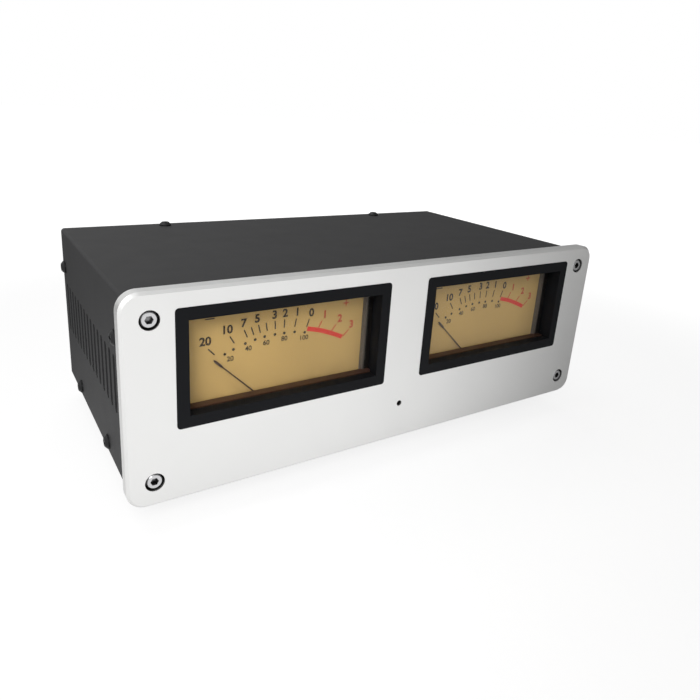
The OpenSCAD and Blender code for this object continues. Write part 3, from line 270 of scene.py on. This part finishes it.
def clear(name, smear, dullest, **uniform):
    """Clear acrylic with faint smears. Light for what lies behind it goes straight through."""
    shader = Shader(name, Transmission_Weight=1.0, **uniform)
    shader.link(shader.spread(shader.noise(smear, detail=4), 0.0, dullest), shader.bsdf.inputs["Roughness"])
    path = shader.node("ShaderNodeLightPath")
    through = shader.node("ShaderNodeBsdfTransparent")
    either = shader.node("ShaderNodeMixShader")
    shader.link(path.outputs["Is Shadow Ray"], either.inputs["Fac"])
    shader.link(shader.bsdf.outputs["BSDF"], either.inputs[1])
    shader.link(through.outputs["BSDF"], either.inputs[2])
    shader.show(either.outputs["Shader"])
    return shader.material


# ---- Materials ------------------------------------------------------------

# One for each slot of the record, and a few for the microphone and what is printed. Patches,
# grain, depth, reach and recess are lengths in metres.
# A recess is how far the painted shade in gaps reaches.
FINISHES = {
    "anodised_panel": (grained, dict(
        colour=(0.88, 0.88, 0.87), roughness=0.40, grain=0.00022, depth=0.000012, variation=0.015,
        rough_spread=0.02, patch=0.05, recess=0.005, Metallic=0.75)),
    "powder_coat": (grained, dict(
        colour=(0.026, 0.026, 0.027), roughness=0.62, grain=0.00035, depth=0.00004, variation=0.04,
        rough_spread=0.02, patch=0.03, recess=0.004, Specular_IOR_Level=0.35)),
    "bright_steel": (brushed, dict(colour=(0.62, 0.62, 0.63), roughness=0.26, axis=Z_AXIS)),
    "black_screw": (grained, dict(
        colour=(0.012, 0.012, 0.013), roughness=0.38, grain=0.0002, depth=0.00001, Metallic=0.4)),
    "rubber_black": (grained, dict(
        colour=(0.018, 0.018, 0.018), roughness=0.72, grain=0.0004, depth=0.00004)),
    "black_plastic": (grained, dict(
        colour=(0.007, 0.0075, 0.009), roughness=0.58, grain=0.0003, depth=0.000015,
        variation=0.10, Specular_IOR_Level=0.12)),
    "clear_pane": (clear, dict(
        smear=0.012, dullest=0.015, Base_Color=(0.97, 0.985, 0.98, 1), IOR=1.49,
        Specular_Tint=(0.12, 0.12, 0.12, 1))),
    "brown_plastic": (grained, dict(
        colour=(0.055, 0.024, 0.015), roughness=0.5, grain=0.0003, depth=0.00001)),
    "dial_card": (grained, dict(
        colour=(0.44, 0.285, 0.10), roughness=0.65, grain=0.00012, depth=0.000006, variation=0.04,
        patch=0.02, Specular_IOR_Level=0.2)),
    # painted light on the light guide: its colour near the card, the dim share and the reach of its fall-off
    "light_guide": (edge_lit, dict(
        colour=(0.09, 0.075, 0.06), dim=0.08, reach=0.0018, grain=0.001, depth=0.00001,
        Roughness=0.35, Specular_IOR_Level=0.3)),
    "lamp_board": (grained, dict(
        colour=(0.82, 0.82, 0.78), roughness=0.4, grain=0.0004, depth=0.00001)),
    "soft_iron": (brushed, dict(colour=(0.34, 0.35, 0.37), roughness=0.34, axis=Y_AXIS)),
    "magnet": (grained, dict(
        colour=(0.10, 0.10, 0.105), roughness=0.55, grain=0.0003, depth=0.00003, Metallic=0.6)),
    "brass": (brushed, dict(colour=(0.72, 0.52, 0.22), roughness=0.25, axis=Y_AXIS)),
    "aluminium": (brushed, dict(colour=(0.75, 0.76, 0.77), roughness=0.32, axis=Y_AXIS)),
    "copper_wire": (grained, dict(
        colour=(0.50, 0.19, 0.07), roughness=0.35, grain=0.0001, depth=0.00002, Metallic=0.9)),
    "pointer_brown": (grained, dict(
        colour=(0.034, 0.013, 0.006), roughness=0.45, grain=0.0001, depth=0.000004)),
    "spring_bronze": (brushed, dict(colour=(0.58, 0.38, 0.18), roughness=0.28, axis=Y_AXIS)),
    "ivory_plastic": (grained, dict(
        colour=(0.72, 0.67, 0.52), roughness=0.45, grain=0.0004, depth=0.00001)),
    "green_board": (grained, dict(
        colour=(0.012, 0.11, 0.045), roughness=0.32, grain=0.0009, depth=0.00002, variation=0.15)),
    "capacitor_sleeve": (grained, dict(
        colour=(0.02, 0.03, 0.09), roughness=0.28, grain=0.002, depth=0.00002)),
    "chip_black": (grained, dict(
        colour=(0.018, 0.018, 0.018), roughness=0.55, grain=0.0002, depth=0.00001)),
    "wire_red": (grained, dict(
        colour=(0.42, 0.02, 0.015), roughness=0.4, grain=0.0006, depth=0.00001)),
    "red_plastic": (grained, dict(
        colour=(0.50, 0.02, 0.015), roughness=0.35, grain=0.0005, depth=0.00001)),
    "chrome": (brushed, dict(
        colour=(0.78, 0.78, 0.80), roughness=0.14, axis=Y_AXIS, depth=0.000001, variation=0.02)),
    "capsule": (felted, dict(
        metal=(0.62, 0.62, 0.63), felt=(0.008, 0.008, 0.008), metal_roughness=0.3,
        felt_roughness=0.95, squareness=(0.8, 0.9), grain=0.00015, depth=0.00002)),
    "print_brown": (grained, dict(
        colour=(0.022, 0.010, 0.004), roughness=0.6, grain=0.0002, depth=0.000003)),
    "print_white": (grained, dict(
        colour=(0.62, 0.62, 0.60), roughness=0.6, grain=0.0002, depth=0.000003)),
    "print_red": (grained, dict(
        colour=(0.55, 0.030, 0.016), roughness=0.6, grain=0.0002, depth=0.000003)),
    "print_rust": (grained, dict(
        colour=(0.42, 0.052, 0.018), roughness=0.6, grain=0.0002, depth=0.000003)),
}

materials = {name: make(name, **settings) for name, (make, settings) in FINISHES.items()}


def dress_nodes():
    """Gives every CAD node the material of its slot, and the microphone its felt."""
    for subpart in frame["record"]["subparts"]:
        data = nodes[subpart["node"]].data
        data.materials.clear()
        data.materials.append(materials[subpart["material_slot"]])
    nodes["microphone"].data.materials[0] = materials["capsule"]


# Width of the softened edge, for sheet and large mouldings and for turned or small pieces
SOFT_EDGES = {
    0.00025: ("front_panel", "top_cover", "rear_plate", "bottom_tray", "bezel_l", "bezel_r"),
    0.00012: ("panel_screws", "cover_screws", "sensitivity_knob", "line_socket_block",
              "socket_sleeves", "supply_socket", "rear_nuts", "toggle_switches", "feet"),
}
SHARP_ANGLE = math.radians(35)
EDGE_STEPS = 2


def soften_edges():
    """Rounds the edges that catch the light a little."""
    for width, names in SOFT_EDGES.items():
        for name in names:
            bevel = nodes[name].modifiers.new("edge", "BEVEL")
            bevel.width = width
            bevel.segments = EDGE_STEPS
            bevel.limit_method = "ANGLE"
            bevel.angle_limit = SHARP_ANGLE


# ---- Print ----------------------------------------------------------------

# Height of a figure as a share of its font's size
FIGURE_SHARE = 0.73
# Middle of the ink's film in front of the face, in millimetres, and its thickness in metres
PRINT_LIFT = 0.03
FILM_THICKNESS = 0.00002
MERGE_DISTANCE = 1e-8


def along(route, t):
    """Point on the smooth curve through the route's points, for t from 0 to 1."""
    spans = len(route) - 1
    i = min(int(t * spans), spans - 1)
    u = t * spans - i
    a, b = Vector(route[max(i - 1, 0)]), Vector(route[i])
    c, d = Vector(route[i + 1]), Vector(route[min(i + 2, spans)])
    return 0.5 * (2 * b + (c - a) * u + (2 * a - 5 * b + 4 * c - d) * u ** 2
                  + (3 * b - a - 3 * c + d) * u ** 3)


class Print:
    """Flat shapes on an upright face, in millimetres right of an origin and above it, in one mesh."""

    def __init__(self, origin, turn=0.0):
        self.origin = origin
        self.turn = turn
        self.mesh = bmesh.new()

    def polygon(self, points):
        corners = [self.mesh.verts.new((x * MM, -PRINT_LIFT * MM, z * MM)) for x, z in points]
        self.mesh.faces.new(corners)

    def bar(self, start, end, width):
        run = (Vector(end) - Vector(start)).normalized() * width / 2
        side = Vector((-run.y, run.x))
        start, end = Vector(start), Vector(end)
        self.polygon([start + side, start - side, end - side, end + side])

    def dot(self, centre, radius, steps=20):
        turns = [-2 * math.pi * i / steps for i in range(steps)]
        self.polygon([(centre[0] + radius * math.cos(turn), centre[1] + radius * math.sin(turn))
                      for turn in turns])

    def band(self, route, width, steps=24):
        """A strip along a smooth curve through the route's points."""
        curve = [along(route, i / steps) for i in range(steps + 1)]
        upper, lower = [], []
        for i, point in enumerate(curve):
            run = curve[min(i + 1, steps)] - curve[max(i - 1, 0)]
            across = Vector((-run.y, run.x)).normalized() * width / 2
            upper.append(point + across)
            lower.append(point - across)
        for i in range(steps):
            self.polygon([upper[i], lower[i], lower[i + 1], upper[i + 1]])

    def text(self, words, x, z, height, weight):
        """Upright figures centred on a point."""
        data = bpy.data.curves.new("figures", "FONT")
        data.body = words
        data.size = height / FIGURE_SHARE
        data.offset = weight
        data.align_x = "CENTER"
        data.align_y = "CENTER"
        text = bpy.data.objects.new("figures", data)
        bpy.context.scene.collection.objects.link(text)
        bpy.context.view_layer.update()
        evaluated = text.evaluated_get(bpy.context.evaluated_depsgraph_get())
        outline = bpy.data.meshes.new_from_object(evaluated)
        outline.transform(Matrix.Translation(Vector((x, -PRINT_LIFT, z)) * MM)
                          @ Matrix.Rotation(math.pi / 2, 4, "X") @ Matrix.Scale(MM, 4))
        self.mesh.from_mesh(outline)
        bpy.data.objects.remove(text)
        bpy.data.meshes.remove(outline)
        bpy.data.curves.remove(data)

    def finish(self, name, material, body="chassis"):
        """Makes the piece, thick enough to be a solid film, and fixes it to a body."""
        data = bpy.data.meshes.new(name)
        bmesh.ops.remove_doubles(self.mesh, verts=self.mesh.verts, dist=MERGE_DISTANCE)
        bmesh.ops.recalc_face_normals(self.mesh, faces=self.mesh.faces)
        self.mesh.to_mesh(data)
        self.mesh.free()
        data.materials.append(materials[material])
        piece = bpy.data.objects.new(name, data)
        piece.location = self.origin
        piece.rotation_euler.z = self.turn
        bpy.context.scene.collection.objects.link(piece)
        film = piece.modifiers.new("film", "SOLIDIFY")
        film.thickness = FILM_THICKNESS
        film.offset = 0
        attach(piece, body)


# ---- Dials, in millimetres to the right of the pivot and above it ---------

NUMERAL_HEIGHT = 3.1
NUMERAL_WEIGHT = 0.14
SMALL_NUMERAL_HEIGHT = 1.9
SMALL_NUMERAL_WEIGHT = 0.05
NUMERALS = (("20", -28.7, 32.1), ("10", -20.8, 35.3), ("7", -14.6, 36.9), ("5", -9.4, 37.9),
            ("3", -2.6, 38.4), ("2", 1.7, 38.5), ("1", 6.7, 38.3), ("0", 12.7, 37.3))
RED_NUMERALS = (("1", 18.6, 35.8), ("2", 25.4, 33.3), ("3", 30.9, 30.2))
SMALL_NUMERALS = (("20", -19.6, 24.3), ("40", -12.7, 27.1), ("60", -5.7, 28.2), ("80", 1.6, 28.7),
                  ("100", 9.8, 27.8))
DOTS = ((-21.6, 26.4), (-18.4, 27.7), (-13.9, 29.2), (-10.1, 30.1), (-6.4, 30.7), (-2.3, 30.9),
        (1.5, 30.9), (5.8, 30.7), (10.1, 29.9))
DOT_RADIUS = 0.55

# Ticks point at the pivot. Their ends lie on two flat arcs: height over the pivot, and radius.
TICK_ANGLES = (-43.4, -31.1, -22.7, -18.5, -14.1, -9.4, -3.8, 2.4, 10.0, 18.7)
RED_TICK_ANGLES = (27.4, 37.4, 46.6)
TICK_OUTER = (36.2, 59.0)
TICK_INNER = (33.0, 55.0)
TICK_WIDTH = 0.48

RED_BAND = ((11.1, 31.2), (16.9, 29.7), (22.4, 27.6), (26.9, 25.6))
RED_BAND_WIDTH = 1.8

# Middle and length
MINUS_SIGN = (-27.0, 40.2, 3.4)
PLUS_SIGN = (27.9, 39.4, 2.6)
SIGN_WIDTH = 0.5


def on_arc(angle, arc):
    """Point where a line from the pivot, at an angle in degrees, meets a flat arc."""
    apex, radius = arc
    centre = apex - radius
    sine, cosine = math.sin(math.radians(angle)), math.cos(math.radians(angle))
    reach = centre * cosine + math.sqrt(radius ** 2 - (centre * sine) ** 2)
    return reach * sine, reach * cosine


def print_steps(ink, numerals, tick_angles):
    """A run of the upper scale: its numerals and its ticks."""
    for words, x, z in numerals:
        ink.text(words, x, z, NUMERAL_HEIGHT, NUMERAL_WEIGHT)
    for angle in tick_angles:
        ink.bar(on_arc(angle, TICK_INNER), on_arc(angle, TICK_OUTER), TICK_WIDTH)


def print_dial(side):
    """The scale of one meter."""
    pivot = joints["pointer_swing_" + side]["pos_m"]
    origin = (pivot[0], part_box("dial_" + side)[0].y, pivot[2])
    brown = Print(origin)
    print_steps(brown, NUMERALS, TICK_ANGLES)
    for words, x, z in SMALL_NUMERALS:
        brown.text(words, x, z, SMALL_NUMERAL_HEIGHT, SMALL_NUMERAL_WEIGHT)
    for centre in DOTS:
        brown.dot(centre, DOT_RADIUS)
    x, z, length = MINUS_SIGN
    brown.bar((x - length / 2, z), (x + length / 2, z), SIGN_WIDTH)
    brown.finish("dial_scale_" + side, "print_brown")

    rust = Print(origin)
    print_steps(rust, RED_NUMERALS, RED_TICK_ANGLES)
    x, z, length = PLUS_SIGN
    rust.bar((x - length / 2, z), (x + length / 2, z), SIGN_WIDTH)
    rust.bar((x, z - length / 2), (x, z - SIGN_WIDTH / 2), SIGN_WIDTH)
    rust.bar((x, z + SIGN_WIDTH / 2), (x, z + length / 2), SIGN_WIDTH)
    rust.finish("dial_over_scale_" + side, "print_rust")

    red = Print(origin)
    red.band(RED_BAND, RED_BAND_WIDTH)
    red.finish("dial_red_band_" + side, "print_red")


# ---- Rear, in millimetres from the knob's axis or the power lever's pivot --

KNOB_STEPS = 10
KNOB_NUMERAL_EVERY = 2
# Inner and outer radius
KNOB_TICKS = (10.2, 12.0)
KNOB_TICK_WIDTH = 0.4
KNOB_NUMERAL_RADIUS = 14.4
KNOB_LINE = (1.8, 6.2)
KNOB_LINE_WIDTH = 0.5
KNOB_LINE_SUNK = 0.45
REAR_LETTER_HEIGHT = 2.2
REAR_LETTER_WEIGHT = 0.03
SWITCH_WORDS = (("ON", 10.5), ("OFF", -10.5))


def print_rear():
    """Plain steps round the rear knob, the line in its groove, and ON and OFF at the power switch."""
    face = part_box("rear_plate")[1].y
    knob = joints["sensitivity_turn"]
    scale = Print((knob["pos_m"][0], face, knob["pos_m"][2]), math.pi)
    first, last = knob["range_deg"]
    for step in range(KNOB_STEPS + 1):
        angle = math.radians(first + (last - first) * step / KNOB_STEPS)
        across, up = math.sin(angle), math.cos(angle)
        scale.bar(*((across * radius, up * radius) for radius in KNOB_TICKS), KNOB_TICK_WIDTH)
        if step % KNOB_NUMERAL_EVERY == 0:
            scale.text(str(step), across * KNOB_NUMERAL_RADIUS, up * KNOB_NUMERAL_RADIUS,
                       REAR_LETTER_HEIGHT, REAR_LETTER_WEIGHT)
    scale.finish("knob_scale", "print_white")

    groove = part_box("sensitivity_knob")[1].y - KNOB_LINE_SUNK * MM
    line = Print((knob["pos_m"][0], groove, knob["pos_m"][2]), math.pi)
    line.bar(*((0, radius) for radius in KNOB_LINE), KNOB_LINE_WIDTH)
    line.finish("knob_line", "print_white", knob["child"])

    power = joints["power_switch"]["pos_m"]
    switch = Print((power[0], face, power[2]), math.pi)
    for word, height in SWITCH_WORDS:
        switch.text(word, 0, height, REAR_LETTER_HEIGHT, REAR_LETTER_WEIGHT)
    switch.finish("switch_words", "print_white")


# ---- Room -----------------------------------------------------------------

# Brightness of the surround for soft light, and for reflections: level at front and rear, and
# how it grows along each axis
SURROUND_SOFT = 0.17
REFLECTED_MIDDLE = 0.45
REFLECTED_SLOPE = (-0.45, 0, 0.3)
# Brightness that reflections see on the floor: where it starts and stops changing, and from
# what to what, along two directions
FLOOR_RIGHT = (0.645, 0.765, 0)
FLOOR_REAR = (0, 1, 0)
REFLECTED_TO_THE_RIGHT = (-0.085, 0.05, 1.05, 0.18)
REFLECTED_TO_THE_REAR = (-0.11, -0.04, 1.0, 0.7)
# Glow that only the camera sees, weaker near the object so that its shadow shows
FLOOR_GLOW_SHARE = 0.6
FLOOR_GLOW = (0.22, 0.5, 1.35, 1.65)
FLOOR_REACH = 6
WHITE = (1, 1, 1, 1)


def add_area(name, place, target, size, power, colour=(1, 1, 1), spread=180):
    data = bpy.data.lights.new(name, "AREA")
    data.spread = math.radians(spread)
    data.shape = "RECTANGLE"
    data.size, data.size_y = size
    data.energy = power
    data.color = colour
    light = bpy.data.objects.new(name, data)
    light.location = place
    light.rotation_euler = (Vector(target) - Vector(place)).to_track_quat("-Z", "Y").to_euler()
    bpy.context.scene.collection.objects.link(light)


def add_surround():
    """White to the camera. Reflections see it brighter at the left and overhead."""
    world = bpy.data.worlds.new("surround")
    bpy.context.scene.world = world
    world.use_nodes = True
    tree = world.node_tree
    tree.nodes.clear()

    def background(strength):
        made = tree.nodes.new("ShaderNodeBackground")
        made.inputs["Color"].default_value = WHITE
        made.inputs["Strength"].default_value = strength
        return made

    def mix(factor, first, second):
        made = tree.nodes.new("ShaderNodeMixShader")
        tree.links.new(factor, made.inputs["Fac"])
        tree.links.new(first, made.inputs[1])
        tree.links.new(second, made.inputs[2])
        return made.outputs["Shader"]

    path = tree.nodes.new("ShaderNodeLightPath")
    direction = tree.nodes.new("ShaderNodeTexCoord")
    toward = tree.nodes.new("ShaderNodeVectorMath")
    toward.operation = "DOT_PRODUCT"
    toward.inputs[1].default_value = REFLECTED_SLOPE
    tree.links.new(direction.outputs["Generated"], toward.inputs[0])
    level = tree.nodes.new("ShaderNodeMath")
    level.operation = "ADD"
    level.use_clamp = True
    level.inputs[1].default_value = REFLECTED_MIDDLE
    tree.links.new(toward.outputs["Value"], level.inputs[0])
    reflected = background(1.0)
    tree.links.new(level.outputs["Value"], reflected.inputs["Strength"])
    soft = background(SURROUND_SOFT)
    white = background(1.0)
    straight = tree.nodes.new("ShaderNodeMath")
    straight.operation = "MAXIMUM"
    tree.links.new(path.outputs["Is Camera Ray"], straight.inputs[0])
    tree.links.new(path.outputs["Is Transmission Ray"], straight.inputs[1])
    seen = mix(path.outputs["Is Glossy Ray"], soft.outputs["Background"], reflected.outputs["Background"])
    seen = mix(straight.outputs["Value"], seen, white.outputs["Background"])
    output = tree.nodes.new("ShaderNodeOutputWorld")
    tree.links.new(seen, output.inputs["Surface"])


def add_floor():
    """White paper with the object's faint shadow. Reflections see it brighter at the front left."""
    data = bpy.data.meshes.new("floor")
    corners = [(x * FLOOR_REACH, y * FLOOR_REACH, 0) for x, y in ((-1, -1), (1, -1), (1, 1), (-1, 1))]
    data.from_pydata(corners, [], [(0, 1, 2, 3)])
    floor = bpy.data.objects.new("floor", data)
    bpy.context.scene.collection.objects.link(floor)
    paper = Shader("floor_paper", Base_Color=(0.8, 0.8, 0.8, 1), Roughness=0.9)
    path = paper.node("ShaderNodeLightPath")

    def measure(operation, other=(0, 0, 0)):
        """A place's distance from the middle, or how far it lies along a direction."""
        made = paper.node("ShaderNodeVectorMath")
        made.operation = operation
        made.inputs[1].default_value = other
        paper.link(paper.place, made.inputs[0])
        return made.outputs["Value"]

    def ramp(value, near, far, first, last):
        made = paper.node("ShaderNodeMapRange", From_Min=near, From_Max=far, To_Min=first, To_Max=last)
        made.interpolation_type = "SMOOTHSTEP"
        paper.link(value, made.inputs["Value"])
        return made.outputs["Result"]

    def glowing(surface, ray, share, strength):
        """Adds a glow that only one kind of ray sees."""
        glow = paper.node("ShaderNodeEmission", Color=WHITE)
        paper.link(strength, glow.inputs["Strength"])
        mix = paper.node("ShaderNodeMixShader")
        paper.link(paper.work_out("MULTIPLY", path.outputs[ray], share), mix.inputs["Fac"])
        paper.link(surface, mix.inputs[1])
        paper.link(glow.outputs["Emission"], mix.inputs[2])
        return mix.outputs["Shader"]

    reflected = paper.node("ShaderNodeMath")
    reflected.operation = "MULTIPLY"
    paper.link(ramp(measure("DOT_PRODUCT", FLOOR_RIGHT), *REFLECTED_TO_THE_RIGHT), reflected.inputs[0])
    paper.link(ramp(measure("DOT_PRODUCT", FLOOR_REAR), *REFLECTED_TO_THE_REAR), reflected.inputs[1])
    seen = glowing(paper.bsdf.outputs["BSDF"], "Is Glossy Ray", 1.0, reflected.outputs["Value"])
    seen = glowing(seen, "Is Camera Ray", FLOOR_GLOW_SHARE, ramp(measure("LENGTH"), *FLOOR_GLOW))
    paper.show(seen)
    data.materials.append(paper.material)


def add_lamps():
    """A near lamp at the front left, weak ones at the right and behind, and a soft one overhead."""
    add_area("key", place=(-0.30, -0.38, 0.27), target=(-0.13, -0.06, 0.04), size=(0.25, 0.25),
             power=0.208, spread=62)
    add_area("fill", place=(1.2, -1.0, 0.6), target=(0, 0, 0.04), size=(1.0, 1.0), power=0.6,
             colour=(1.0, 0.95, 0.88))
    add_area("top", place=(-0.2, 0.6, 1.4), target=(0, 0, 0.04), size=(1.2, 0.8), power=5)
    add_area("rear", place=(0.35, 0.8, 0.045), target=(0, 0, 0.045), size=(0.8, 0.06), power=2)


add_camera()
dress_nodes()
soften_edges()
for side in SIDES:
    print_dial(side)
print_rear()
add_surround()
add_floor()
add_lamps()
bpy.context.scene.view_settings.view_transform = "Standard"
